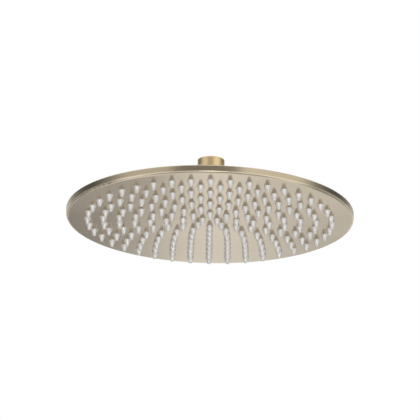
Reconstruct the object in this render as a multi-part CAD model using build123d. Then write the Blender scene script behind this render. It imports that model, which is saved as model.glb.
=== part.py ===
from build123d import *

import os
from math import acos, asin, cos, degrees, radians, sin, sqrt

# Round overhead rain shower head on a ball-joint inlet.
#
# A pressed brass pan with a slightly crowned spray face carries a one-piece silicone nozzle mat.
# A crowned back cover is crimped into the top of the pan, and a turned ball joint carries the head
# from a female pipe-thread inlet. Lengths are millimetres, +Z is up, and the origin is the centre of
# the inlet's mouth. Half sections are drawn as (radius, height) and turned about Z.

# Head: the pan, the cover and what is clamped between them
HEAD_DIAMETER = 250.0
RIM_HEIGHT = 7.0
FACE_CROWN = 2.4
BACK_CROWN = 2.4
PAN_SHEET = 1.2
COVER_SHEET = 1.2
RIM_LOWER_RADIUS = 2.2
RIM_UPPER_RADIUS = 0.8
CRIMP_WIDTH = 3.0
COVER_EDGE_FLAT = 6.0
COVER_LAND_RADIUS = 21.0
COVER_CLEARANCE = 0.1
MAT_THICKNESS = 1.0
MAT_CLEARANCE = 0.2
GASKET_WIDTH = 6.0
PILLAR_COUNT = 10
PILLAR_RADIUS = 2.0
PILLAR_END_GAP = 0.1
PILLAR_HOLE_CLEARANCE = 0.3

# Spray pattern: each ring has NOZZLES_PER_STEP more nozzles than the ring inside it
RING_COUNT = 8
FIRST_RING_RADIUS = 10.6
RING_PITCH = 13.65
NOZZLES_PER_STEP = 5
PATTERN_START_DEG = 90.0

# One nozzle, measured from the outer face of the pan
NOZZLE_LENGTH = 5.6
NOZZLE_NECK_RADIUS = 3.3
NOZZLE_WAIST_RADIUS = 2.0
NOZZLE_WAIST_DEPTH = 3.0
NOZZLE_TIP_RADIUS = 1.3
NOZZLE_INLET_RADIUS = 1.6
NOZZLE_JET_RADIUS = 0.6
NOZZLE_HOLE_CLEARANCE = 0.05

# Inlet: the collar with the pipe thread, down to the ball
COLLAR_RADIUS = 11.8
COLLAR_FLOOR = 2.2
COLLAR_TOP_CHAMFER = 0.8
COLLAR_BOTTOM_CHAMFER = 1.5
THREAD_ROOT_RADIUS = 10.4775  # G 1/2 internal thread, major diameter 20.955
THREAD_DEPTH = 11.5
WASHER_SEAT_RADIUS = 9.4
WASHER_ROOM = 2.5  # from the end of the thread to the washer's ledge
REGULATOR_POCKET_RADIUS = 7.0
REGULATOR_HEIGHT = 3.8
WATERWAY_RADIUS = 4.0
BALL_RADIUS = 10.0
NECK_SHARE = 0.65  # of the ball's radius
BALL_END_SHARE = 0.87  # of the ball's radius, from its centre to its flat lower end
NECK_RISE = 5.1  # clear height between the nut's top and the collar

# What lies in the collar
WASHER_RADIUS = 9.2
WASHER_BORE_RADIUS = 6.0
WASHER_THICKNESS = 2.0
SCREEN_RADIUS = 6.7
SCREEN_THICKNESS = 0.4
SCREEN_POCKET_CLEARANCE = 0.1
SCREEN_HOLE_RADIUS = 0.55
SCREEN_HOLE_PITCH = 1.7
SCREEN_HOLE_RINGS = 3
REGULATOR_CLEARANCE = 0.1
REGULATOR_FLOOR = 1.3
REGULATOR_WALL = 1.2
REGULATOR_POST_RADIUS = 2.0
REGULATOR_PORT_RADIUS = 0.8
REGULATOR_PORT_COUNT = 8
REGULATOR_RING_SECTION = 1.1

# Ball joint in the head
FIT_CLEARANCE = 0.05
LINER_WALL = 1.45
LINER_LOW_DEG = -15.0
LINER_HIGH_DEG = 38.0
NUT_OPENING_DEG = 40.0
NUT_WALL = 2.5
NUT_WALL_AT_FLATS = 1.3
NUT_FLAT_HEIGHT = 8.0
NUT_LIP_HEIGHT = 1.2
NUT_LIP_FLARE = 0.95
NUT_CHAMFER = 1.0
NUT_FLANGE_GAP = 0.3
NUT_SHOULDER_GAP = 0.3
SOCKET_WALL = 1.45
CAVITY_CLEARANCE = 0.5
SOCKET_FLANGE_LEDGE = 2.5
SOCKET_FLANGE_HEIGHT = 2.5
SOCKET_FLANGE_CHAMFER = 0.8
SOCKET_SHANK_RADIUS = 9.0
SOCKET_SHANK_TAIL = 0.6  # how far the shank stands out below the lock nut
SOCKET_BORE_RADIUS = 4.7
SOCKET_FLOOR = 0.8  # from the flange's lower face to the floor under the seat ring
SEAT_BASE = 2.6
SEAT_LOW_DEG = -62.0
SEAT_HIGH_DEG = -40.0
SHANK_CLEARANCE = 0.1
SEAL_THICKNESS = 1.0
SEAL_RADIUS = 16.0
LOCK_NUT_ACROSS_FLATS = 24.0
LOCK_NUT_HEIGHT = 3.0

# Radii that follow
HEAD_RADIUS = HEAD_DIAMETER / 2
FACE_EDGE_RADIUS = HEAD_RADIUS - RIM_LOWER_RADIUS
FACE_SPHERE = (FACE_EDGE_RADIUS**2 + FACE_CROWN**2) / (2 * FACE_CROWN)
PAN_BORE_RADIUS = HEAD_RADIUS - PAN_SHEET
COVER_RADIUS = PAN_BORE_RADIUS - COVER_CLEARANCE
COVER_CROWN_RADIUS = HEAD_RADIUS - COVER_EDGE_FLAT
MAT_RADIUS = PAN_BORE_RADIUS - MAT_CLEARANCE
PILLAR_CIRCLE = FIRST_RING_RADIUS + (RING_COUNT / 2 + 1.5) * RING_PITCH
LINER_BORE = BALL_RADIUS + FIT_CLEARANCE
LINER_RADIUS = LINER_BORE + LINER_WALL
NUT_SEAT_RADIUS = LINER_RADIUS + FIT_CLEARANCE
SOCKET_CAVITY_RADIUS = LINER_RADIUS + CAVITY_CLEARANCE
SOCKET_THREAD_RADIUS = SOCKET_CAVITY_RADIUS + SOCKET_WALL
NUT_THREAD_RADIUS = SOCKET_THREAD_RADIUS + FIT_CLEARANCE
NUT_RADIUS = NUT_THREAD_RADIUS + NUT_WALL
NUT_ACROSS_FLATS = 2 * (NUT_THREAD_RADIUS + NUT_WALL_AT_FLATS)
SOCKET_FLANGE_RADIUS = NUT_RADIUS + SOCKET_FLANGE_LEDGE

# Levels that follow, from the inlet's mouth down
WASHER_SEAT = -THREAD_DEPTH - WASHER_ROOM
REGULATOR_SEAT = WASHER_SEAT - REGULATOR_HEIGHT
COLLAR_BOTTOM = REGULATOR_SEAT - COLLAR_FLOOR
NUT_TOP = COLLAR_BOTTOM - NECK_RISE
BALL_CENTRE = NUT_TOP - NUT_LIP_HEIGHT - NUT_SEAT_RADIUS * sin(radians(NUT_OPENING_DEG))
SOCKET_TOP = BALL_CENTRE - NUT_SHOULDER_GAP
CAVITY_FLOOR = BALL_CENTRE + LINER_BORE * sin(radians(SEAT_LOW_DEG)) - SEAT_BASE
FLANGE_BOTTOM = CAVITY_FLOOR - SOCKET_FLOOR
FLANGE_TOP = FLANGE_BOTTOM + SOCKET_FLANGE_HEIGHT
NUT_BOTTOM = FLANGE_TOP + NUT_FLANGE_GAP
COVER_TOP = FLANGE_BOTTOM - SEAL_THICKNESS
COVER_EDGE_TOP = COVER_TOP - BACK_CROWN
RIM_TOP = COVER_EDGE_TOP + PAN_SHEET
RIM_BOTTOM = RIM_TOP - RIM_HEIGHT
FACE_CENTRE = RIM_BOTTOM - FACE_CROWN + FACE_SPHERE  # height of the face's centre of curvature
SHANK_BOTTOM = COVER_TOP - COVER_SHEET - LOCK_NUT_HEIGHT - SOCKET_SHANK_TAIL


def turned(*edges):
    """A solid of revolution about Z, from the closed outline of its half section."""
    return revolve(Plane.XZ * make_face(list(edges)), Axis.Z)


def turned_polygon(*points):
    """A solid of revolution about Z whose half section has straight sides only."""
    return turned(Polyline(*points, close=True))


def crown_arc(radius, inset):
    """The crowned surface that lies inset above the pan's outer face, from the axis out to radius."""
    sphere = FACE_SPHERE - inset
    return CenterArc((0, FACE_CENTRE), sphere, -90, degrees(asin(radius / sphere)))


def on_ball(radius, latitude_deg):
    """A point of the half section at a latitude on a sphere about the ball's centre."""
    angle = radians(latitude_deg)
    return (radius * cos(angle), BALL_CENTRE + radius * sin(angle))


def ball_arc(radius, from_deg, to_deg):
    """An arc of the half section on a sphere about the ball's centre."""
    return CenterArc((0, BALL_CENTRE), radius, from_deg, to_deg - from_deg)


def face_height(radius, inset):
    """Height of the crowned surface that lies inset above the pan's outer face."""
    return FACE_CENTRE - sqrt((FACE_SPHERE - inset) ** 2 - radius**2)


def ring_radius(ring):
    """Radius of a nozzle ring, counted from 1 at the middle."""
    return FIRST_RING_RADIUS + (ring - 1) * RING_PITCH


def square_to_face(radius, turn):
    """Where a shape drawn about Z, from the face's centre of curvature, leaves the crown squarely."""
    lean = degrees(asin(radius / FACE_SPHERE))
    return Pos(0, 0, FACE_CENTRE) * Rot(0, 0, turn) * Rot(0, -lean, 0)


def nozzle_places():
    """One place for each nozzle of every ring."""
    places = []
    for ring in range(1, RING_COUNT + 1):
        count = NOZZLES_PER_STEP * ring
        step = 360.0 / count
        places += [square_to_face(ring_radius(ring), PATTERN_START_DEG + step * i) for i in range(count)]
    return places


def pillar_places():
    """One place for each stay pillar, between two nozzle rings."""
    step = 360.0 / PILLAR_COUNT
    return [square_to_face(PILLAR_CIRCLE, PATTERN_START_DEG + step * i) for i in range(PILLAR_COUNT)]


def face_bar(radius, top, bottom):
    """A round bar about Z that starts top above the pan's outer face and ends bottom above it.

    It is drawn from the face's centre of curvature, and so meets every crowned surface in a true circle.
    """
    bar = Cylinder(radius, FACE_SPHERE - bottom, align=(Align.CENTER, Align.CENTER, Align.MIN))
    return Rot(180, 0, 0) * bar - Sphere(FACE_SPHERE - top)


def face_cone(top_radius, bottom_radius, top, bottom):
    """A round taper about Z between two heights above the pan's outer face."""
    height = top - bottom
    return Pos(0, 0, (top + bottom) / 2 - FACE_SPHERE) * Cone(bottom_radius, top_radius, height)


def cover_shape(drop):
    """Half-section edges of the cover's crowned surface, lowered by drop, from the land to the edge."""
    land = (COVER_LAND_RADIUS, COVER_TOP - drop)
    edge = (COVER_CROWN_RADIUS, COVER_EDGE_TOP - drop)
    return land, edge, cover_arc(drop)


def cover_sphere():
    """Radius of the cover's crown, which is level where it leaves the land."""
    span = COVER_CROWN_RADIUS - COVER_LAND_RADIUS
    return (span**2 + BACK_CROWN**2) / (2 * BACK_CROWN)


def cover_height(radius, drop):
    """Height of the cover's crowned surface at a radius, lowered by drop."""
    sphere = cover_sphere()
    return COVER_TOP - drop - sphere + sqrt(sphere**2 - (radius - COVER_LAND_RADIUS) ** 2)


def cover_arc(drop):
    """The crown's arc in the half section, from the land to the flat edge."""
    middle = (COVER_LAND_RADIUS + COVER_CROWN_RADIUS) / 2
    return ThreePointArc(
        (COVER_LAND_RADIUS, COVER_TOP - drop),
        (middle, cover_height(middle, drop)),
        (COVER_CROWN_RADIUS, COVER_EDGE_TOP - drop),
    )


def make_face_pan():
    """Pressed pan: crowned spray face, rounded rim and the lip crimped over the cover."""
    inner_edge = (PAN_BORE_RADIUS, face_height(PAN_BORE_RADIUS, PAN_SHEET))
    face_middle = (0, face_height(0, 0))
    floor_middle = (0, face_height(0, PAN_SHEET))
    face_edge = (FACE_EDGE_RADIUS, RIM_BOTTOM)
    wall_low = (HEAD_RADIUS, RIM_BOTTOM + RIM_LOWER_RADIUS)
    wall_high = (HEAD_RADIUS, RIM_TOP - RIM_UPPER_RADIUS)
    lip_outer = (HEAD_RADIUS - RIM_UPPER_RADIUS, RIM_TOP)
    lip_inner = HEAD_RADIUS - CRIMP_WIDTH
    blank = turned(
        crown_arc(FACE_EDGE_RADIUS, 0),
        RadiusArc(face_edge, wall_low, -RIM_LOWER_RADIUS),
        Line(wall_low, wall_high),
        RadiusArc(wall_high, lip_outer, -RIM_UPPER_RADIUS),
        Polyline(
            lip_outer,
            (lip_inner, RIM_TOP),
            (lip_inner, COVER_EDGE_TOP),
            (PAN_BORE_RADIUS, COVER_EDGE_TOP),
            inner_edge,
        ),
        crown_arc(PAN_BORE_RADIUS, PAN_SHEET),
        Line(floor_middle, face_middle),
    )
    drill = face_bar(NOZZLE_NECK_RADIUS + NOZZLE_HOLE_CLEARANCE, 2 * PAN_SHEET, -PAN_SHEET)
    return blank - [place * drill for place in nozzle_places()]


def make_nozzle_mat():
    """Silicone sheet behind the face, moulded in one piece with every nozzle."""
    mat_low = PAN_SHEET
    mat_high = PAN_SHEET + MAT_THICKNESS
    low_edge = (MAT_RADIUS, face_height(MAT_RADIUS, mat_low))
    high_edge = (MAT_RADIUS, face_height(MAT_RADIUS, mat_high))
    low_middle = (0, face_height(0, mat_low))
    high_middle = (0, face_height(0, mat_high))
    sheet = turned(
        crown_arc(MAT_RADIUS, mat_low),
        Line(low_edge, high_edge),
        crown_arc(MAT_RADIUS, mat_high),
        Line(high_middle, low_middle),
    )
    root = (mat_low + mat_high) / 2
    waist = -NOZZLE_WAIST_DEPTH
    body = (
        face_bar(NOZZLE_NECK_RADIUS, root, 0)
        + face_cone(NOZZLE_NECK_RADIUS, NOZZLE_WAIST_RADIUS, 0, waist)
        + face_cone(NOZZLE_WAIST_RADIUS, NOZZLE_TIP_RADIUS, waist, -NOZZLE_LENGTH)
    )
    beyond = MAT_THICKNESS
    bore = face_bar(NOZZLE_INLET_RADIUS, mat_high + beyond, 0) + face_cone(
        NOZZLE_INLET_RADIUS, NOZZLE_JET_RADIUS, 0, -NOZZLE_LENGTH
    )
    nozzle = body - bore
    inlet = face_bar(NOZZLE_INLET_RADIUS, mat_high + beyond, 0)
    hole = face_bar(PILLAR_RADIUS + PILLAR_HOLE_CLEARANCE, mat_high + beyond, 0)
    places = nozzle_places()
    pierced = sheet - ([place * inlet for place in places] + [place * hole for place in pillar_places()])
    return pierced + [place * nozzle for place in places]


def make_rim_gasket():
    """Rubber ring squeezed between the cover's edge and the mat."""
    outer = MAT_RADIUS
    inner = MAT_RADIUS - GASKET_WIDTH
    top = COVER_EDGE_TOP - COVER_SHEET
    inset = PAN_SHEET + MAT_THICKNESS
    return turned_polygon(
        (inner, face_height(inner, inset)), (outer, face_height(outer, inset)), (outer, top), (inner, top)
    )


def make_back_cover():
    """Crowned brass disc that closes the pan, with a flat land for the ball joint."""
    land, edge, crown = cover_shape(0)
    land_under, edge_under, crown_under = cover_shape(COVER_SHEET)
    hole = SOCKET_SHANK_RADIUS + SHANK_CLEARANCE
    return turned(
        Line((hole, COVER_TOP), land),
        crown,
        Polyline(edge, (COVER_RADIUS, edge[1]), (COVER_RADIUS, edge_under[1]), edge_under),
        crown_under,
        Polyline(land_under, (hole, land_under[1]), (hole, COVER_TOP)),
    )


def make_stay_pillars():
    """Brass stays that tie the face to the cover against the water's pressure."""
    far = PILLAR_CIRCLE + PILLAR_RADIUS
    edge_rise = PILLAR_RADIUS * PILLAR_CIRCLE / FACE_SPHERE
    bottom = PAN_SHEET + PILLAR_END_GAP
    top = cover_height(far, COVER_SHEET) - face_height(PILLAR_CIRCLE, 0) - edge_rise - PILLAR_END_GAP
    pillar = Pos(0, 0, (bottom + top) / 2 - FACE_SPHERE) * Cylinder(PILLAR_RADIUS, top - bottom)
    return Compound([place * pillar for place in pillar_places()])


def make_ball_stem():
    """Inlet fitting: threaded collar, neck and ball, turned from one bar."""
    neck_deg = degrees(acos(NECK_SHARE))
    end_deg = -degrees(asin(BALL_END_SHARE))
    neck_end = on_ball(BALL_RADIUS, neck_deg)
    ball_end = on_ball(BALL_RADIUS, end_deg)
    return turned(
        Polyline(
            (THREAD_ROOT_RADIUS, 0),
            (COLLAR_RADIUS - COLLAR_TOP_CHAMFER, 0),
            (COLLAR_RADIUS, -COLLAR_TOP_CHAMFER),
            (COLLAR_RADIUS, COLLAR_BOTTOM + COLLAR_BOTTOM_CHAMFER),
            (COLLAR_RADIUS - COLLAR_BOTTOM_CHAMFER, COLLAR_BOTTOM),
            (neck_end[0], COLLAR_BOTTOM),
            neck_end,
        ),
        ball_arc(BALL_RADIUS, neck_deg, end_deg),
        Polyline(
            ball_end,
            (WATERWAY_RADIUS, ball_end[1]),
            (WATERWAY_RADIUS, REGULATOR_SEAT),
            (REGULATOR_POCKET_RADIUS, REGULATOR_SEAT),
            (REGULATOR_POCKET_RADIUS, WASHER_SEAT),
            (WASHER_SEAT_RADIUS, WASHER_SEAT),
            (WASHER_SEAT_RADIUS, -THREAD_DEPTH),
            (THREAD_ROOT_RADIUS, -THREAD_DEPTH),
            (THREAD_ROOT_RADIUS, 0),
        ),
    )


def make_inlet_washer():
    """Rubber pipe washer on the ledge below the thread, recessed for the screen."""
    bottom = WASHER_SEAT
    pocket = SCREEN_RADIUS + SCREEN_POCKET_CLEARANCE
    step = bottom + SCREEN_THICKNESS
    return turned_polygon(
        (pocket, bottom),
        (WASHER_RADIUS, bottom),
        (WASHER_RADIUS, bottom + WASHER_THICKNESS),
        (WASHER_BORE_RADIUS, bottom + WASHER_THICKNESS),
        (WASHER_BORE_RADIUS, step),
        (pocket, step),
    )


def make_filter_screen():
    """Perforated steel disc that keeps grit out of the nozzles."""
    middle = SCREEN_THICKNESS / 2 + WASHER_SEAT
    hole = Cylinder(SCREEN_HOLE_RADIUS, 2 * SCREEN_THICKNESS)
    holes = [hole]
    for ring in range(1, SCREEN_HOLE_RINGS + 1):
        holes += [place * hole for place in PolarLocations(ring * SCREEN_HOLE_PITCH, 6 * ring)]
    return Pos(0, 0, middle) * (Cylinder(SCREEN_RADIUS, SCREEN_THICKNESS) - holes)


def make_flow_regulator():
    """Plastic cup with a ring of ports round a centre post."""
    radius = REGULATOR_POCKET_RADIUS - REGULATOR_CLEARANCE
    bottom = REGULATOR_SEAT
    floor = bottom + REGULATOR_FLOOR
    top = WASHER_SEAT
    inner = radius - REGULATOR_WALL
    cup = turned_polygon(
        (0, bottom),
        (radius, bottom),
        (radius, top),
        (inner, top),
        (inner, floor),
        (REGULATOR_POST_RADIUS, floor),
        (REGULATOR_POST_RADIUS, top),
        (0, top),
    )
    port_circle = WATERWAY_RADIUS - REGULATOR_PORT_RADIUS
    port = Pos(0, 0, bottom) * Cylinder(REGULATOR_PORT_RADIUS, 4 * REGULATOR_FLOOR)
    return cup - [place * port for place in PolarLocations(port_circle, REGULATOR_PORT_COUNT)]


def make_regulator_ring():
    """Rubber ring that closes on the ports as the pressure rises."""
    inner = REGULATOR_POCKET_RADIUS - REGULATOR_CLEARANCE - REGULATOR_WALL
    middle = (REGULATOR_POST_RADIUS + inner) / 2
    height = REGULATOR_SEAT + REGULATOR_FLOOR + REGULATOR_RING_SECTION
    return Pos(0, 0, height) * Torus(middle, REGULATOR_RING_SECTION)


def make_ball_liner():
    """Nylon band between the ball and the nut, spherical on both sides."""
    return turned(
        ball_arc(LINER_BORE, LINER_LOW_DEG, LINER_HIGH_DEG),
        Line(on_ball(LINER_BORE, LINER_HIGH_DEG), on_ball(LINER_RADIUS, LINER_HIGH_DEG)),
        ball_arc(LINER_RADIUS, LINER_HIGH_DEG, LINER_LOW_DEG),
        Line(on_ball(LINER_RADIUS, LINER_LOW_DEG), on_ball(LINER_BORE, LINER_LOW_DEG)),
    )


def make_swivel_nut():
    """Round nut that traps the ball and its liner, with two spanner flats."""
    opening = on_ball(NUT_SEAT_RADIUS, NUT_OPENING_DEG)
    equator = (NUT_SEAT_RADIUS, BALL_CENTRE)
    nut = turned(
        ball_arc(NUT_SEAT_RADIUS, 0, NUT_OPENING_DEG),
        Polyline(
            opening,
            (opening[0] + NUT_LIP_FLARE, NUT_TOP),
            (NUT_RADIUS - NUT_CHAMFER, NUT_TOP),
            (NUT_RADIUS, NUT_TOP - NUT_CHAMFER),
            (NUT_RADIUS, NUT_BOTTOM),
            (NUT_THREAD_RADIUS, NUT_BOTTOM),
            (NUT_THREAD_RADIUS, BALL_CENTRE),
            equator,
        ),
    )
    cut = NUT_RADIUS
    flat = Pos(0, NUT_ACROSS_FLATS / 2 + cut / 2, NUT_BOTTOM + NUT_FLAT_HEIGHT / 2)
    block = flat * Box(4 * NUT_RADIUS, cut, NUT_FLAT_HEIGHT)
    return nut - [block, Rot(0, 0, 180) * block]


def make_swivel_socket():
    """Turned socket below the ball: flange, threaded barrel and a shank through the cover."""
    return turned_polygon(
        (SOCKET_BORE_RADIUS, SHANK_BOTTOM),
        (SOCKET_SHANK_RADIUS, SHANK_BOTTOM),
        (SOCKET_SHANK_RADIUS, FLANGE_BOTTOM),
        (SOCKET_FLANGE_RADIUS, FLANGE_BOTTOM),
        (SOCKET_FLANGE_RADIUS, FLANGE_TOP - SOCKET_FLANGE_CHAMFER),
        (SOCKET_FLANGE_RADIUS - SOCKET_FLANGE_CHAMFER, FLANGE_TOP),
        (SOCKET_THREAD_RADIUS, FLANGE_TOP),
        (SOCKET_THREAD_RADIUS, SOCKET_TOP),
        (SOCKET_CAVITY_RADIUS, SOCKET_TOP),
        (SOCKET_CAVITY_RADIUS, CAVITY_FLOOR),
        (SOCKET_BORE_RADIUS, CAVITY_FLOOR),
    )


def make_seat_ring():
    """Rubber seat under the ball, hollowed to the ball's own curve."""
    seat = BALL_RADIUS + FIT_CLEARANCE
    low = on_ball(seat, SEAT_LOW_DEG)
    high = on_ball(seat, SEAT_HIGH_DEG)
    outer = SOCKET_CAVITY_RADIUS - FIT_CLEARANCE
    return turned(
        ball_arc(seat, SEAT_LOW_DEG, SEAT_HIGH_DEG),
        Polyline(high, (outer, high[1]), (outer, CAVITY_FLOOR), (low[0], CAVITY_FLOOR), low),
    )


def make_socket_seal():
    """Flat rubber washer between the socket's flange and the cover."""
    inner = SOCKET_SHANK_RADIUS + SHANK_CLEARANCE
    return Pos(0, 0, COVER_TOP + SEAL_THICKNESS / 2) * (
        Cylinder(SEAL_RADIUS, SEAL_THICKNESS) - Cylinder(inner, 2 * SEAL_THICKNESS)
    )


def make_lock_nut():
    """Thin hexagon nut that clamps the socket to the cover from inside."""
    bore = SOCKET_SHANK_RADIUS + FIT_CLEARANCE
    hexagon = RegularPolygon(LOCK_NUT_ACROSS_FLATS / 2, 6, major_radius=False)
    nut = extrude(hexagon, LOCK_NUT_HEIGHT) - Cylinder(bore, 4 * LOCK_NUT_HEIGHT)
    return Pos(0, 0, COVER_TOP - COVER_SHEET - LOCK_NUT_HEIGHT) * nut


PIECES = {
    "face_pan": make_face_pan,
    "nozzle_mat": make_nozzle_mat,
    "rim_gasket": make_rim_gasket,
    "back_cover": make_back_cover,
    "stay_pillars": make_stay_pillars,
    "ball_stem": make_ball_stem,
    "inlet_washer": make_inlet_washer,
    "filter_screen": make_filter_screen,
    "flow_regulator": make_flow_regulator,
    "regulator_ring": make_regulator_ring,
    "ball_liner": make_ball_liner,
    "swivel_nut": make_swivel_nut,
    "swivel_socket": make_swivel_socket,
    "seat_ring": make_seat_ring,
    "socket_seal": make_socket_seal,
    "lock_nut": make_lock_nut,
}


def main():
    os.makedirs("parts", exist_ok=True)
    for name, make in PIECES.items():
        export_step(make(), os.path.join("parts", name + ".step"))


if __name__ == "__main__":
    main()
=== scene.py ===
"""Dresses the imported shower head: finishes, moulded nozzles, pipe thread, studio and camera.

Lengths in the dataclasses are millimetres unless a name says otherwise; Blender objects are in
metres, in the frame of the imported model: the origin at the inlet's mouth and +Z up.
"""

from __future__ import annotations

import logging
import math
from dataclasses import dataclass
from enum import Enum

import bmesh
import bpy
from mathutils import Matrix, Vector

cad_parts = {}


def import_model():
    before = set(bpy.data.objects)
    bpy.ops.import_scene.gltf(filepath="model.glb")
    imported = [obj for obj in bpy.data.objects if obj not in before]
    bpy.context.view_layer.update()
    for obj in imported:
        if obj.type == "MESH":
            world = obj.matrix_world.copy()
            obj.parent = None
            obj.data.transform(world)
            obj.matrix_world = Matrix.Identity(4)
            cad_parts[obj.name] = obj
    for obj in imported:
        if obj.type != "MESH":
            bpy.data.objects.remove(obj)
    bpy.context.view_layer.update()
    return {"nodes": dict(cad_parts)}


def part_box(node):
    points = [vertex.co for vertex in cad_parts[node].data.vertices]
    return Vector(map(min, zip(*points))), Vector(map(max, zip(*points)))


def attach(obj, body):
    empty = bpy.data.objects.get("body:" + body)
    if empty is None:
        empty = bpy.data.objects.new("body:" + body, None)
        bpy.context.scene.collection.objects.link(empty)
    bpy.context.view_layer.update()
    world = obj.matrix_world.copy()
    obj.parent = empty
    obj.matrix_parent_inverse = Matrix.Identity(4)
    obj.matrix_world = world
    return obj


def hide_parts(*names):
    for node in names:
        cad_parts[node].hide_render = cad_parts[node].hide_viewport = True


LOG = logging.getLogger("shower_head")
MM = 0.001
DEPTH_BELOW_FACE = "depth_below_face_mm"

# A noise factor lies mostly between these two.
NOISE_LOW, NOISE_HIGH = 0.3, 0.7
CLOUD_DETAIL = 3.0
# Sockets of a mix node that mixes colours.
MIX_FACTOR, MIX_FIRST, MIX_SECOND, MIX_RESULT = 0, 6, 7, 2

Colour = tuple[float, float, float]
Profile = list[tuple[float, float]]
Socket = bpy.types.NodeSocket
Polar = tuple[Socket, Socket, Socket]


class Body(Enum):
    """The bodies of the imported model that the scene's own pieces ride on."""

    INLET = "inlet"
    HEAD = "head"


class Lay(Enum):
    """Which way the marks of a metal's finishing run."""

    RINGS = "rings"
    STRAIGHT = "straight"


class NodeGraph:
    """A small helper that adds shader nodes and joins their sockets."""

    def __init__(self, tree: bpy.types.NodeTree) -> None:
        """Starts with an empty tree.

        Args:
            tree: The node tree of a material or a world.
        """
        self.tree = tree
        tree.nodes.clear()

    def add(self, kind: str, **values: object) -> bpy.types.Node:
        """Adds a node and sets its properties.

        Args:
            kind: The node's type name.
            **values: Properties of the node, by attribute name.

        Returns:
            The new node.
        """
        node = self.tree.nodes.new(kind)
        for name, value in values.items():
            setattr(node, name, value)
        return node

    def set(self, node: bpy.types.Node, **inputs: object) -> bpy.types.Node:
        """Sets unlinked inputs by name, with underscores for spaces.

        Args:
            node: The node to set.
            **inputs: Input names and their values.

        Returns:
            The same node.
        """
        for name, value in inputs.items():
            node.inputs[name.replace("_", " ")].default_value = value
        return node

    def join(self, source: Socket, target: Socket) -> None:
        """Links one socket to another."""
        self.tree.links.new(source, target)

    def math(self, operation: str, first: object, second: object = 0.0) -> Socket:
        """Adds a math node on sockets or numbers.

        Args:
            operation: The math operation's name.
            first: A socket or a number.
            second: A socket or a number.

        Returns:
            The node's output socket.
        """
        node = self.add("ShaderNodeMath", operation=operation)
        for index, value in enumerate((first, second)):
            if isinstance(value, Socket):
                self.join(value, node.inputs[index])
            else:
                node.inputs[index].default_value = value
        return node.outputs[0]

    def noise(self, vector: Socket, scale: float, detail: float = 2.0) -> Socket:
        """Adds a noise texture.

        Args:
            vector: Where to read the noise.
            scale: The noise's scale.
            detail: How many finer layers it has.

        Returns:
            The noise's factor socket.
        """
        node = self.add("ShaderNodeTexNoise")
        self.set(node, Scale=scale, Detail=detail)
        self.join(vector, node.inputs["Vector"])
        return node.outputs["Fac"]

    def spread(self, factor: Socket, low: float, high: float) -> Socket:
        """Maps a noise factor onto a range.

        Args:
            factor: A noise's factor socket.
            low: The value where the noise is low.
            high: The value where the noise is high.

        Returns:
            The mapped socket.
        """
        node = self.add("ShaderNodeMapRange")
        self.set(node, From_Min=NOISE_LOW, From_Max=NOISE_HIGH, To_Min=low, To_Max=high)
        self.join(factor, node.inputs["Value"])
        return node.outputs["Result"]

    def tint(self, factor: Socket, low: Colour, high: Colour) -> Socket:
        """Maps a noise factor onto a range of colour.

        Args:
            factor: A noise's factor socket.
            low: The colour where the noise is low.
            high: The colour where the noise is high.

        Returns:
            The colour socket.
        """
        ramp = self.add("ShaderNodeValToRGB")
        first, last = ramp.color_ramp.elements
        first.position, last.position = NOISE_LOW, NOISE_HIGH
        first.color, last.color = (*low, 1.0), (*high, 1.0)
        self.join(factor, ramp.inputs["Fac"])
        return ramp.outputs["Color"]

    def object_point(self) -> Socket:
        """The shaded point in the object's own coordinates."""
        return self.add("ShaderNodeTexCoord").outputs["Object"]

    def bump(self, height: Socket, strength: float, distance: float) -> Socket:
        """Adds a bump node.

        Args:
            height: The height socket.
            strength: The bump's strength.
            distance: The height of a full step, in metres.

        Returns:
            The bumped normal.
        """
        node = self.set(self.add("ShaderNodeBump"), Strength=strength, Distance=distance)
        self.join(height, node.inputs["Height"])
        return node.outputs["Normal"]


@dataclass(frozen=True)
class Finish:
    """What every finish has: a name and a colour."""

    name: str
    colour: Colour

    def shade(self, graph: NodeGraph, surface: bpy.types.Node) -> None:
        """Adds the finish's own nodes to its surface shader.

        Args:
            graph: The material's node graph.
            surface: The Principled shader.
        """
        raise NotImplementedError

    def material(self) -> bpy.types.Material:
        """Makes the material, or finds it if it is made.

        Returns:
            The material.
        """
        made = bpy.data.materials.get(self.name)
        if made:
            return made
        made = bpy.data.materials.new(self.name)
        made.use_nodes = True
        graph = NodeGraph(made.node_tree)
        surface = graph.add("ShaderNodeBsdfPrincipled")
        output = graph.add("ShaderNodeOutputMaterial")
        graph.join(surface.outputs["BSDF"], output.inputs["Surface"])
        self.shade(graph, surface)
        return made

    def shades(self, by: float) -> tuple[Colour, Colour]:
        """The colour a little darker and a little lighter.

        Args:
            by: The share by which each side departs.

        Returns:
            The darker and the lighter colour.
        """
        low = tuple(channel * (1 - by) for channel in self.colour)
        high = tuple(min(1.0, channel * (1 + by)) for channel in self.colour)
        return low, high


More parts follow.
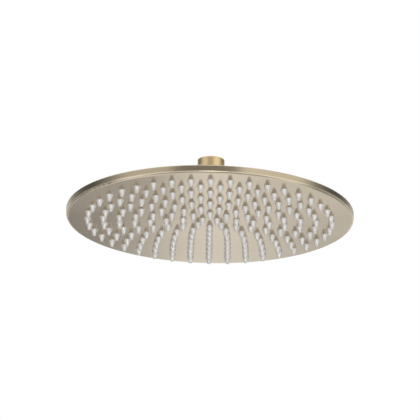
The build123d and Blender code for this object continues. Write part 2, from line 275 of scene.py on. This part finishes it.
@dataclass(frozen=True)
class BrushedMetal(Finish):
    """Satin metal with fine marks that run round the axis or straight along a bar."""

    roughness: float
    lay: Lay
    anisotropy: float = 0.5
    marks_per_mm: float = 2.2
    variation: float = 0.05
    edge_radius_mm: float = 0.0
    edge_roughness: float = 0.0
    edge_blend_mm: float = 0.4
    ring_wander: float = 3.0
    bar_turns: float = 40.0
    bar_stretch: float = 0.1
    cloud_per_m: float = 14.0
    rough_share: float = 0.1
    rough_cloud: float = 0.015
    bump_strength: float = 0.03
    bump_m: float = 2e-5

    def polar(self, graph: NodeGraph) -> Polar:
        """The shaded point's place round the axis.

        Args:
            graph: The material's node graph.

        Returns:
            The distance from the axis, the angle round it and the height.
        """
        split = graph.add("ShaderNodeSeparateXYZ")
        graph.join(graph.object_point(), split.inputs[0])
        x, y, z = split.outputs
        squares = graph.math("ADD", graph.math("MULTIPLY", x, x), graph.math("MULTIPLY", y, y))
        return graph.math("SQRT", squares), graph.math("ARCTAN2", y, x), z

    def marks(self, graph: NodeGraph) -> Socket:
        """Coordinates drawn out along the finishing marks.

        Args:
            graph: The material's node graph.

        Returns:
            A vector that changes fast across the marks and slowly along them.
        """
        across, along, z = self.polar(graph)
        vector = graph.add("ShaderNodeCombineXYZ")
        scale = self.marks_per_mm / MM
        if self.lay is Lay.RINGS:
            graph.join(graph.math("MULTIPLY", across, scale), vector.inputs[0])
            graph.join(graph.math("MULTIPLY", z, scale), vector.inputs[1])
            wander = graph.math("MULTIPLY", graph.math("SINE", along), self.ring_wander)
            graph.join(wander, vector.inputs[2])
        else:
            drawn_out = self.bar_stretch * scale
            graph.join(graph.math("MULTIPLY", along, self.bar_turns), vector.inputs[0])
            graph.join(graph.math("MULTIPLY", z, drawn_out), vector.inputs[1])
            graph.join(graph.math("MULTIPLY", across, drawn_out), vector.inputs[2])
        return vector.outputs[0]

    def shade(self, graph: NodeGraph, surface: bpy.types.Node) -> None:
        """Adds the brushed look.

        Args:
            graph: The material's node graph.
            surface: The Principled shader.
        """
        graph.set(surface, Metallic=1.0, Anisotropic=self.anisotropy, Anisotropic_Rotation=0.25)
        marks = self.marks(graph)
        fine = graph.noise(marks, 1.0)
        cloud = graph.noise(graph.object_point(), self.cloud_per_m, CLOUD_DETAIL)
        low, high = self.shades(self.variation)
        graph.join(graph.tint(cloud, low, high), surface.inputs["Base Color"])
        smooth = (1 - self.rough_share) * self.roughness
        coarse = (1 + self.rough_share) * self.roughness
        rough = graph.math(
            "ADD",
            graph.spread(fine, smooth, coarse),
            graph.spread(cloud, -self.rough_cloud, self.rough_cloud),
        )
        if self.edge_radius_mm:
            edge = graph.set(
                graph.add("ShaderNodeMapRange"),
                From_Min=(self.edge_radius_mm - self.edge_blend_mm) * MM,
                From_Max=self.edge_radius_mm * MM,
                To_Max=self.edge_roughness - self.roughness,
            )
            graph.join(self.polar(graph)[0], edge.inputs["Value"])
            rough = graph.math("ADD", rough, edge.outputs["Result"])
        graph.join(rough, surface.inputs["Roughness"])
        graph.join(graph.bump(fine, self.bump_strength, self.bump_m), surface.inputs["Normal"])
        if self.lay is Lay.RINGS:
            tangent = graph.add("ShaderNodeTangent", direction_type="RADIAL", axis="Z")
            graph.join(tangent.outputs[0], surface.inputs["Tangent"])


@dataclass(frozen=True)
class Silicone(Finish):
    """Milky moulded silicone, with painted shade that darkens it towards each nozzle's root."""

    # Colour of the painted shade at the nozzles' roots, and the depths below the face over which
    # that painted shade fades out.
    root_shade_colour: Colour
    full_shade_depth_mm: float = 0.1
    unshaded_depth_mm: float = 3.0
    roughness: float = 0.32
    rough_below: float = 0.04
    rough_above: float = 0.06
    ior: float = 1.8
    coat_ior: float = 2.6
    bleed: float = 0.2
    bleed_m: float = 0.0004
    bleed_radii: Colour = (1.0, 0.9, 0.8)
    variation: float = 0.04
    cloud_per_m: float = 220.0
    grain_per_m: float = 2600.0
    bump_strength: float = 0.08
    bump_m: float = 4e-5

    def shade(self, graph: NodeGraph, surface: bpy.types.Node) -> None:
        """Adds the silicone look.

        Args:
            graph: The material's node graph.
            surface: The Principled shader.
        """
        graph.set(surface, IOR=self.ior, Specular_IOR_Level=1.0)
        graph.set(surface, Subsurface_Weight=self.bleed, Subsurface_Scale=self.bleed_m)
        graph.set(surface, Subsurface_Radius=self.bleed_radii)
        graph.set(surface, Coat_Weight=1.0, Coat_IOR=self.coat_ior, Coat_Roughness=self.roughness)
        point = graph.object_point()
        cloud = graph.noise(point, self.cloud_per_m, CLOUD_DETAIL)
        # Painted shade: towards each nozzle's root the colour darkens to the root shade colour,
        # standing in for the shade that the face and the neighbouring nozzles cast.
        depth = graph.add("ShaderNodeAttribute", attribute_name=DEPTH_BELOW_FACE)
        share = graph.add("ShaderNodeMapRange")
        graph.set(share, From_Min=self.full_shade_depth_mm, From_Max=self.unshaded_depth_mm)
        graph.join(depth.outputs["Fac"], share.inputs["Value"])
        blend = graph.add("ShaderNodeMix", data_type="RGBA")
        low, high = self.shades(self.variation)
        graph.join(share.outputs["Result"], blend.inputs[MIX_FACTOR])
        blend.inputs[MIX_FIRST].default_value = (*self.root_shade_colour, 1.0)
        graph.join(graph.tint(cloud, low, high), blend.inputs[MIX_SECOND])
        graph.join(blend.outputs[MIX_RESULT], surface.inputs["Base Color"])
        smooth, coarse = self.roughness - self.rough_below, self.roughness + self.rough_above
        graph.join(graph.spread(cloud, smooth, coarse), surface.inputs["Roughness"])
        grain = graph.noise(point, self.grain_per_m)
        bumped = graph.bump(grain, self.bump_strength, self.bump_m)
        graph.join(bumped, surface.inputs["Normal"])


@dataclass(frozen=True)
class Moulded(Finish):
    """Rubber or plastic with the fine grain of its mould."""

    roughness: float
    rough_spread: float = 0.05
    sheen: float = 0.0
    variation: float = 0.1
    cloud_per_m: float = 180.0
    grain_per_m: float = 3000.0
    bump_strength: float = 0.12
    bump_m: float = 3e-5

    def shade(self, graph: NodeGraph, surface: bpy.types.Node) -> None:
        """Adds the moulded look.

        Args:
            graph: The material's node graph.
            surface: The Principled shader.
        """
        graph.set(surface, Sheen_Weight=self.sheen)
        point = graph.object_point()
        cloud = graph.noise(point, self.cloud_per_m, CLOUD_DETAIL)
        low, high = self.shades(self.variation)
        graph.join(graph.tint(cloud, low, high), surface.inputs["Base Color"])
        smooth, coarse = self.roughness - self.rough_spread, self.roughness + self.rough_spread
        graph.join(graph.spread(cloud, smooth, coarse), surface.inputs["Roughness"])
        grain = graph.noise(point, self.grain_per_m)
        bumped = graph.bump(grain, self.bump_strength, self.bump_m)
        graph.join(bumped, surface.inputs["Normal"])


FACE_BRASS = BrushedMetal(
    "face_brass",
    (0.72, 0.625, 0.475),
    0.16,
    Lay.RINGS,
    edge_radius_mm=123.0,
    edge_roughness=0.30,
)
COVER_BRASS = BrushedMetal("cover_brass", (0.74, 0.635, 0.47), 0.46, Lay.RINGS)
TURNED_BRASS = BrushedMetal("turned_brass", (0.92, 0.74, 0.44), 0.42, Lay.RINGS, marks_per_mm=4.0)
PLAIN_BRASS = BrushedMetal("plain_brass", (0.78, 0.58, 0.30), 0.32, Lay.RINGS, marks_per_mm=5.0)
SCREEN_STEEL = BrushedMetal("screen_steel", (0.62, 0.62, 0.60), 0.25, Lay.STRAIGHT)
# The second colour is the painted shade at the nozzles' roots.
MILKY_SILICONE = Silicone("milky_silicone", (0.60, 0.56, 0.505), (0.50, 0.465, 0.42))
SEAL_RUBBER = Moulded("seal_rubber", (0.025, 0.025, 0.026), 0.62, sheen=0.1)
BLUE_ACETAL = Moulded("blue_acetal", (0.05, 0.16, 0.36), 0.40)
NATURAL_NYLON = Moulded("natural_nylon", (0.80, 0.78, 0.72), 0.45)

NODE_FINISHES: dict[str, Finish] = {
    "face_pan": FACE_BRASS,
    "back_cover": COVER_BRASS,
    "ball_stem": TURNED_BRASS,
    "swivel_nut": TURNED_BRASS,
    "swivel_socket": TURNED_BRASS,
    "stay_pillars": PLAIN_BRASS,
    "lock_nut": PLAIN_BRASS,
    "nozzle_mat": MILKY_SILICONE,
    "rim_gasket": SEAL_RUBBER,
    "inlet_washer": SEAL_RUBBER,
    "regulator_ring": SEAL_RUBBER,
    "seat_ring": SEAL_RUBBER,
    "socket_seal": SEAL_RUBBER,
    "filter_screen": SCREEN_STEEL,
    "flow_regulator": BLUE_ACETAL,
    "ball_liner": NATURAL_NYLON,
}


def add_object(name: str, mesh: bmesh.types.BMesh, finish: Finish) -> bpy.types.Object:
    """Turns a mesh under construction into a smooth object in the scene.

    Args:
        name: The object's name.
        mesh: The mesh, which is freed.
        finish: The object's finish.

    Returns:
        The new object.
    """
    data = bpy.data.meshes.new(name)
    bmesh.ops.recalc_face_normals(mesh, faces=mesh.faces)
    mesh.to_mesh(data)
    mesh.free()
    data.polygons.foreach_set("use_smooth", [True] * len(data.polygons))
    data.materials.append(finish.material())
    made = bpy.data.objects.new(name, data)
    bpy.context.scene.collection.objects.link(made)
    return made


def flat_mesh(name: str, width_m: float, height_m: float) -> bpy.types.Mesh:
    """Makes a flat rectangle about its middle.

    Args:
        name: The mesh's name.
        width_m: Its size along X.
        height_m: Its size along Y.

    Returns:
        The mesh, facing +Z.
    """
    mesh = bpy.data.meshes.new(name)
    wide, high = width_m / 2, height_m / 2
    corners = [(-wide, -high, 0), (wide, -high, 0), (wide, high, 0), (-wide, high, 0)]
    mesh.from_pydata(corners, [], [(0, 1, 2, 3)])
    return mesh


def turned(place: Vector, way: Vector, axis: str = "Z") -> Matrix:
    """A place with one axis turned along a way and Y kept upward.

    Args:
        place: Where it is, in metres.
        way: Where the axis points.
        axis: The axis that is turned.

    Returns:
        The matrix.
    """
    return Matrix.Translation(place) @ way.to_track_quat(axis, "Y").to_matrix().to_4x4()


def lathe(
    mesh: bmesh.types.BMesh, profile: Profile, segments: int, place: Matrix, closed: bool
) -> None:
    """Turns a half section about Z and adds it to a mesh.

    Args:
        mesh: The mesh to add to.
        profile: Points as (radius, height) in millimetres.
        segments: How many steps go round.
        place: Where the turned form goes, in metres.
        closed: Whether the last point joins the first.
    """
    rings = []
    for radius, height in profile:
        ring = []
        for index in range(segments):
            angle = 2 * math.pi * index / segments
            point = Vector((radius * math.cos(angle), radius * math.sin(angle), height)) * MM
            ring.append(mesh.verts.new(place @ point))
        rings.append(ring)
    pairs = list(zip(rings, rings[1:]))
    if closed:
        pairs.append((rings[-1], rings[0]))
    for low, high in pairs:
        for index in range(segments):
            after = (index + 1) % segments
            mesh.faces.new((low[index], low[after], high[after], high[index]))


@dataclass
class SprayMat:
    """The one-piece silicone mat with its rings of nozzles, in place of the plain moulding."""

    ring_count: int = 8
    first_radius: float = 10.6
    ring_pitch: float = 13.65
    nozzles_per_step: int = 5
    start_deg: float = 90.0
    crown: float = 2.4
    crown_radius: float = 122.8
    sheet: float = 1.2
    thickness: float = 1.0
    mat_radius: float = 123.6
    length: float = 5.6
    seat_share: float = 0.4
    hub_radius: float = 0.05
    segments: int = 20
    sheet_segments: int = 96
    sheet_steps: int = 10

    def sphere(self) -> float:
        """Radius of the crowned face's curve."""
        return (self.crown_radius**2 + self.crown**2) / (2 * self.crown)

    def nozzle_profile(self) -> Profile:
        """Half section of one nozzle from its seat to its jet, heights above the pan's face.

        Returns:
            A closed outline of (radius, height) points.
        """
        inner = self.sheet + self.seat_share * self.thickness
        tip = -self.length
        return [
            (1.45, inner),
            (3.30, inner),
            (3.30, -0.05),
            (3.22, -0.20),
            (2.90, -0.90),
            (2.54, -1.80),
            (2.18, -2.70),
            (1.88, -3.60),
            (1.62, -4.50),
            (1.44, -5.20),
            (1.30, tip + 0.10),
            (1.14, tip),
            (0.74, tip),
            (0.60, tip + 0.14),
            (0.74, -3.80),
        ]

    def places(self, face_z: float) -> list[Matrix]:
        """Where each nozzle goes, square to the crowned face.

        Args:
            face_z: Height of the rim's lower edge, in millimetres.

        Returns:
            One matrix for each nozzle, in metres.
        """
        sphere = self.sphere()
        centre = Matrix.Translation((0, 0, (face_z - self.crown + sphere) * MM))
        down = Matrix.Translation((0, 0, -sphere * MM))
        found = []
        for ring in range(1, self.ring_count + 1):
            count = self.nozzles_per_step * ring
            lean = math.asin((self.first_radius + (ring - 1) * self.ring_pitch) / sphere)
            leaning = Matrix.Rotation(-lean, 4, "Y")
            for index in range(count):
                turn = math.radians(self.start_deg) + 2 * math.pi * index / count
                found.append(centre @ Matrix.Rotation(turn, 4, "Z") @ leaning @ down)
        return found

    def sheet_profile(self, face_z: float) -> Profile:
        """Half section of the mat's sheet.

        Args:
            face_z: Height of the rim's lower edge, in millimetres.

        Returns:
            A closed outline of (radius, height) points.
        """
        sphere = self.sphere()
        centre = face_z - self.crown + sphere
        steps = self.sheet_steps
        radii = [self.mat_radius * step / steps for step in range(steps + 1)]
        radii[0] = self.hub_radius
        lower = [(r, centre - math.sqrt((sphere - self.sheet) ** 2 - r * r)) for r in radii]
        upper = [(r, height + self.thickness) for r, height in lower]
        return lower + upper[::-1]

    def build(self, face_z: float) -> bpy.types.Object:
        """Makes the mat and puts it in place of the plain one.

        Args:
            face_z: Height of the rim's lower edge, in millimetres.

        Returns:
            The mat.
        """
        mesh = bmesh.new()
        lathe(mesh, self.sheet_profile(face_z), self.sheet_segments, Matrix.Identity(4), True)
        for place in self.places(face_z):
            lathe(mesh, self.nozzle_profile(), self.segments, place, True)
        mat = add_object("silicone_spray_mat", mesh, MILKY_SILICONE)
        # Each point's depth below the face, which places the silicone's painted root shade.
        sphere = self.sphere()
        centre = Vector((0, 0, face_z - self.crown + sphere))
        depths = [(vertex.co / MM - centre).length - sphere for vertex in mat.data.vertices]
        marked = mat.data.attributes.new(DEPTH_BELOW_FACE, "FLOAT", "POINT")
        marked.data.foreach_set("value", depths)
        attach(mat, Body.HEAD.value)
        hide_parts("nozzle_mat")
        return mat


@dataclass
class InletThread:
    """The pipe thread's ridge inside the collar."""

    root_radius: float = 10.46
    crest_radius: float = 9.33
    pitch: float = 1.814
    start: float = -0.7
    end: float = -10.9
    steps_per_turn: int = 48
    fades_per_turn: int = 4
    least_depth: float = 0.02
    section: tuple[tuple[float, float], ...] = (
        (0.0, 0.47),
        (0.80, 0.15),
        (1.0, 0.06),
        (1.0, -0.06),
        (0.80, -0.15),
        (0.0, -0.47),
    )

    def build(self) -> bpy.types.Object:
        """Sweeps the ridge's section along its helix, fading in and out at the ends.

        Returns:
            The ridge.
        """
        mesh = bmesh.new()
        turns = (self.start - self.end) / self.pitch
        steps = round(turns * self.steps_per_turn)
        depth = self.root_radius - self.crest_radius
        rows = []
        for step in range(steps + 1):
            angle = 2 * math.pi * step / self.steps_per_turn
            from_end = min(step, steps - step)
            fade = min(1.0, self.fades_per_turn * from_end / self.steps_per_turn)
            height = self.start - self.pitch * step / self.steps_per_turn
            row = []
            for share, offset in self.section:
                radius = self.root_radius - depth * share * max(fade, self.least_depth)
                x, y = radius * math.cos(angle), radius * math.sin(angle)
                row.append(mesh.verts.new(Vector((x, y, height + offset * self.pitch)) * MM))
            rows.append(row)
        for low, high in zip(rows, rows[1:]):
            for index in range(len(self.section) - 1):
                mesh.faces.new((low[index], low[index + 1], high[index + 1], high[index]))
        ridge = add_object("inlet_thread_ridge", mesh, TURNED_BRASS)
        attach(ridge, Body.INLET.value)
        return ridge


@dataclass
class DressedNodes:
    """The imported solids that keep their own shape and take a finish."""

    finishes: dict[str, Finish]

    def dress(self, nodes: dict[str, bpy.types.Object]) -> None:
        """Gives every node its finish.

        Args:
            nodes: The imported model's nodes by name.
        """
        for name, node in nodes.items():
            node.data.materials.clear()
            node.data.materials.append(self.finishes[name].material())
            LOG.info("dressed %s in %s", name, self.finishes[name].name)


@dataclass(frozen=True)
class Panel:
    """A studio panel that only reflections see: a softbox, a plain wall or a dark flag."""

    name: str
    azimuth_deg: float
    elevation_deg: float
    width_m: float
    height_m: float
    glow: float
    distance_m: float = 3.0
    tint: Colour = (1.0, 1.0, 1.0)
    side_glows: tuple[float, float] | None = None
    middle_share: float = 0.025

    def material(self) -> bpy.types.Material:
        """Makes the panel's light, even or with another glow either side of a narrow middle.

        Returns:
            The material.
        """
        made = bpy.data.materials.new(self.name)
        made.use_nodes = True
        graph = NodeGraph(made.node_tree)
        peak = max(self.glow, *(self.side_glows or (0.0, 0.0)))
        light = graph.set(graph.add("ShaderNodeEmission"), Strength=peak)
        light.inputs["Color"].default_value = (*self.tint, 1.0)
        output = graph.add("ShaderNodeOutputMaterial")
        graph.join(light.outputs[0], output.inputs["Surface"])
        if self.side_glows:
            split = graph.add("ShaderNodeSeparateXYZ")
            graph.join(graph.add("ShaderNodeTexCoord").outputs["Generated"], split.inputs[0])
            ramp = graph.add("ShaderNodeValToRGB")
            ramp.color_ramp.interpolation = "EASE"
            left, right = (glow / peak for glow in self.side_glows)
            middle = self.glow / peak
            first, last = ramp.color_ramp.elements
            first.position, last.position = 0.5 - self.middle_share, 0.5 + self.middle_share
            first.color, last.color = (left, left, left, 1.0), (right, right, right, 1.0)
            ramp.color_ramp.elements.new(0.5).color = (middle, middle, middle, 1.0)
            graph.join(split.outputs[0], ramp.inputs["Fac"])
            graph.join(ramp.outputs["Color"], light.inputs["Color"])
        return made

    def build(self, centre: Vector) -> bpy.types.Object:
        """Hangs the panel so that it faces the head.

        Args:
            centre: The head's middle, in metres.

        Returns:
            The panel.
        """
        azimuth, elevation = math.radians(self.azimuth_deg), math.radians(self.elevation_deg)
        way = Vector(
            (
                math.sin(azimuth) * math.cos(elevation),
                math.cos(azimuth) * math.cos(elevation),
                math.sin(elevation),
            )
        )
        mesh = flat_mesh(self.name, self.width_m, self.height_m)
        mesh.materials.append(self.material())
        panel = bpy.data.objects.new(self.name, mesh)
        bpy.context.scene.collection.objects.link(panel)
        panel.matrix_world = turned(centre + way * self.distance_m, -way)
        panel.visible_camera = False
        panel.visible_shadow = False
        panel.visible_diffuse = False
        return panel


@dataclass(frozen=True)
class Lamp:
    """A soft square lamp that neither the eye nor a reflection sees."""

    name: str
    place_m: tuple[float, float, float]
    size_m: float
    watts: float

    def build(self, centre: Vector) -> None:
        """Hangs the lamp so that it looks at the head.

        Args:
            centre: The head's middle, in metres.
        """
        data = bpy.data.lights.new(self.name, "AREA")
        data.shape, data.size, data.energy = "SQUARE", self.size_m, self.watts
        made = bpy.data.objects.new(self.name, data)
        place = Vector(self.place_m)
        made.matrix_world = turned(centre + place, place)
        made.visible_camera = False
        made.visible_glossy = False
        bpy.context.scene.collection.objects.link(made)


@dataclass
class Studio:
    """White surroundings, a pale floor, soft lamps and the panels that shape the reflections."""

    centre: Vector
    floor_drop_m: float = 3.6
    floor_half_m: float = 14.0
    floor_whiteness: float = 0.7
    floor_colour: Colour = (0.86, 0.86, 0.86)
    floor_roughness: float = 0.9
    ambient: float = 0.72
    lamps: tuple[Lamp, ...] = (
        Lamp("key_left", (-1.6, -1.8, 1.6), 1.6, 28.0),
        Lamp("fill_right", (2.0, -1.0, -1.2), 1.6, 14.0),
    )
    panels: tuple[Panel, ...] = (
        Panel("wall_behind_camera", -176.5, 10.5, 2.85, 2.75, 0.12, tint=(1.0, 0.86, 0.68)),
        Panel("front_left", -126.0, 20.0, 2.9, 2.4, 0.56, distance_m=3.4, tint=(1.0, 0.95, 0.86)),
        Panel("front_right", 126.0, 20.0, 3.4, 2.4, 0.76, distance_m=3.4, tint=(1.0, 0.95, 0.86)),
        Panel("flag_left", -70.0, 18.0, 3.8, 2.3, 0.05, side_glows=(0.32, 0.28), middle_share=0.5),
        Panel("flag_right", 66.0, 18.0, 3.5, 2.3, 0.05, side_glows=(0.28, 0.30), middle_share=0.5),
        Panel("apron_left", -70.0, -30.0, 3.8, 2.0, 0.24),
        Panel("apron_right", 66.0, -30.0, 3.5, 2.0, 0.32),
        Panel("softbox_left", -126.0, -23.0, 2.9, 2.0, 1.28),
        Panel("softbox_middle", 180.0, -23.0, 4.0, 2.6, 1.25, distance_m=4.0),
        Panel("softbox_right", 128.0, -23.0, 2.9, 2.0, 1.32),
        Panel("softbox_camera", 180.0, -22.0, 1.0, 1.0, 4.8, distance_m=3.8),
        Panel("softbox_side_left", -80.0, -10.0, 2.2, 0.8, 0.65, distance_m=2.8),
        Panel("softbox_side_right", 80.0, -10.0, 2.2, 0.8, 0.7, distance_m=2.8),
        Panel("flag_floor", 180.0, -60.0, 4.4, 1.7, 0.07, distance_m=2.4),
        Panel(
            "backdrop_below",
            0.0,
            -13.0,
            4.2,
            0.68,
            0.84,
            side_glows=(0.29, 0.57),
            middle_share=0.06,
        ),
        Panel(
            "backdrop_low",
            0.0,
            -25.0,
            4.2,
            0.58,
            0.90,
            side_glows=(0.42, 0.72),
            middle_share=0.04,
        ),
        Panel("wall_far", 0.0, 22.0, 5.0, 1.6, 0.55),
    )

    @staticmethod
    def seen(graph: NodeGraph) -> Socket:
        """One where the eye, a reflection or a clear piece looks, and nought for plain light.

        Args:
            graph: The node graph of the floor's material or the world.

        Returns:
            The factor socket.
        """
        path = graph.add("ShaderNodeLightPath")
        looked = graph.math("MAXIMUM", path.outputs["Is Camera Ray"], path.outputs["Is Glossy Ray"])
        return graph.math("MAXIMUM", looked, path.outputs["Is Transmission Ray"])

    def world(self) -> None:
        """Makes white surroundings for the eye and for reflections, softer as light."""
        world = bpy.data.worlds.new("studio")
        world.use_nodes = True
        bpy.context.scene.world = world
        graph = NodeGraph(world.node_tree)
        seen = self.seen(graph)
        soft = graph.set(graph.add("ShaderNodeBackground"), Strength=self.ambient)
        white = graph.set(graph.add("ShaderNodeBackground"), Strength=1.0)
        for shade in (soft, white):
            shade.inputs["Color"].default_value = (1.0, 1.0, 1.0, 1.0)
        mix = graph.add("ShaderNodeMixShader")
        graph.join(seen, mix.inputs[0])
        graph.join(soft.outputs[0], mix.inputs[1])
        graph.join(white.outputs[0], mix.inputs[2])
        graph.join(mix.outputs[0], graph.add("ShaderNodeOutputWorld").inputs["Surface"])

    def floor(self) -> bpy.types.Object:
        """Lays the pale floor well below the head, so that a view from below is free.

        Returns:
            The floor.
        """
        mesh = flat_mesh("studio_floor", 2 * self.floor_half_m, 2 * self.floor_half_m)
        made = bpy.data.materials.new("pale_floor")
        made.use_nodes = True
        graph = NodeGraph(made.node_tree)
        surface = graph.add("ShaderNodeBsdfPrincipled")
        graph.set(surface, Roughness=self.floor_roughness, Base_Color=(*self.floor_colour, 1.0))
        white = graph.set(graph.add("ShaderNodeEmission"), Strength=1.0)
        mix = graph.add("ShaderNodeMixShader")
        graph.join(graph.math("MULTIPLY", self.seen(graph), self.floor_whiteness), mix.inputs[0])
        graph.join(surface.outputs[0], mix.inputs[1])
        graph.join(white.outputs[0], mix.inputs[2])
        graph.join(mix.outputs[0], graph.add("ShaderNodeOutputMaterial").inputs["Surface"])
        mesh.materials.append(made)
        floor = bpy.data.objects.new("studio_floor", mesh)
        floor.location = (0, 0, -self.floor_drop_m)
        bpy.context.scene.collection.objects.link(floor)
        return floor

    def build(self) -> None:
        """Sets up the whole studio."""
        self.world()
        self.floor()
        for panel in self.panels:
            panel.build(self.centre)
            LOG.info("hung panel %s", panel.name)
        for lamp in self.lamps:
            lamp.build(self.centre)
            LOG.info("hung lamp %s", lamp.name)
        bpy.context.scene.view_settings.view_transform = "Standard"


@dataclass
class PhotoCamera:
    """The long lens below the near rim, as in the photograph."""

    elevation_deg: float = 18.45
    distance: float = 3300.0
    lens_mm: float = 325.3
    roll_deg: float = 1.27
    aim_rise: float = 8.5
    clip_end_m: float = 100.0

    def build(self, face_z: float) -> bpy.types.Object:
        """Places the camera.

        Args:
            face_z: Height of the rim's lower edge, in millimetres.

        Returns:
            The camera.
        """
        tilt = math.radians(self.elevation_deg)
        ahead = Vector((0, math.cos(tilt), math.sin(tilt)))
        upward = Vector((0, -math.sin(tilt), math.cos(tilt)))
        middle = Vector((0, 0, face_z))
        place = (middle - ahead * self.distance) * MM
        aim = (middle + upward * self.aim_rise) * MM
        data = bpy.data.cameras.new("photo_camera")
        data.lens, data.clip_end = self.lens_mm, self.clip_end_m
        camera = bpy.data.objects.new("photo_camera", data)
        roll = Matrix.Rotation(math.radians(self.roll_deg), 4, "Z")
        camera.matrix_world = turned(place, aim - place, "-Z") @ roll
        bpy.context.scene.collection.objects.link(camera)
        bpy.context.scene.camera = camera
        return camera


def main() -> None:
    """Dresses the head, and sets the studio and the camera."""
    logging.basicConfig(level=logging.INFO, format="%(name)s: %(message)s")
    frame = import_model()
    lowest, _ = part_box("face_pan")
    face_z = lowest[2] / MM + SprayMat.crown
    DressedNodes(NODE_FINISHES).dress(frame["nodes"])
    for piece in (SprayMat().build(face_z), InletThread().build()):
        LOG.info("built %s", piece.name)
    Studio(Vector((0, 0, face_z * MM))).build()
    LOG.info("placed %s", PhotoCamera().build(face_z).name)


if __name__ == "__main__":
    main()
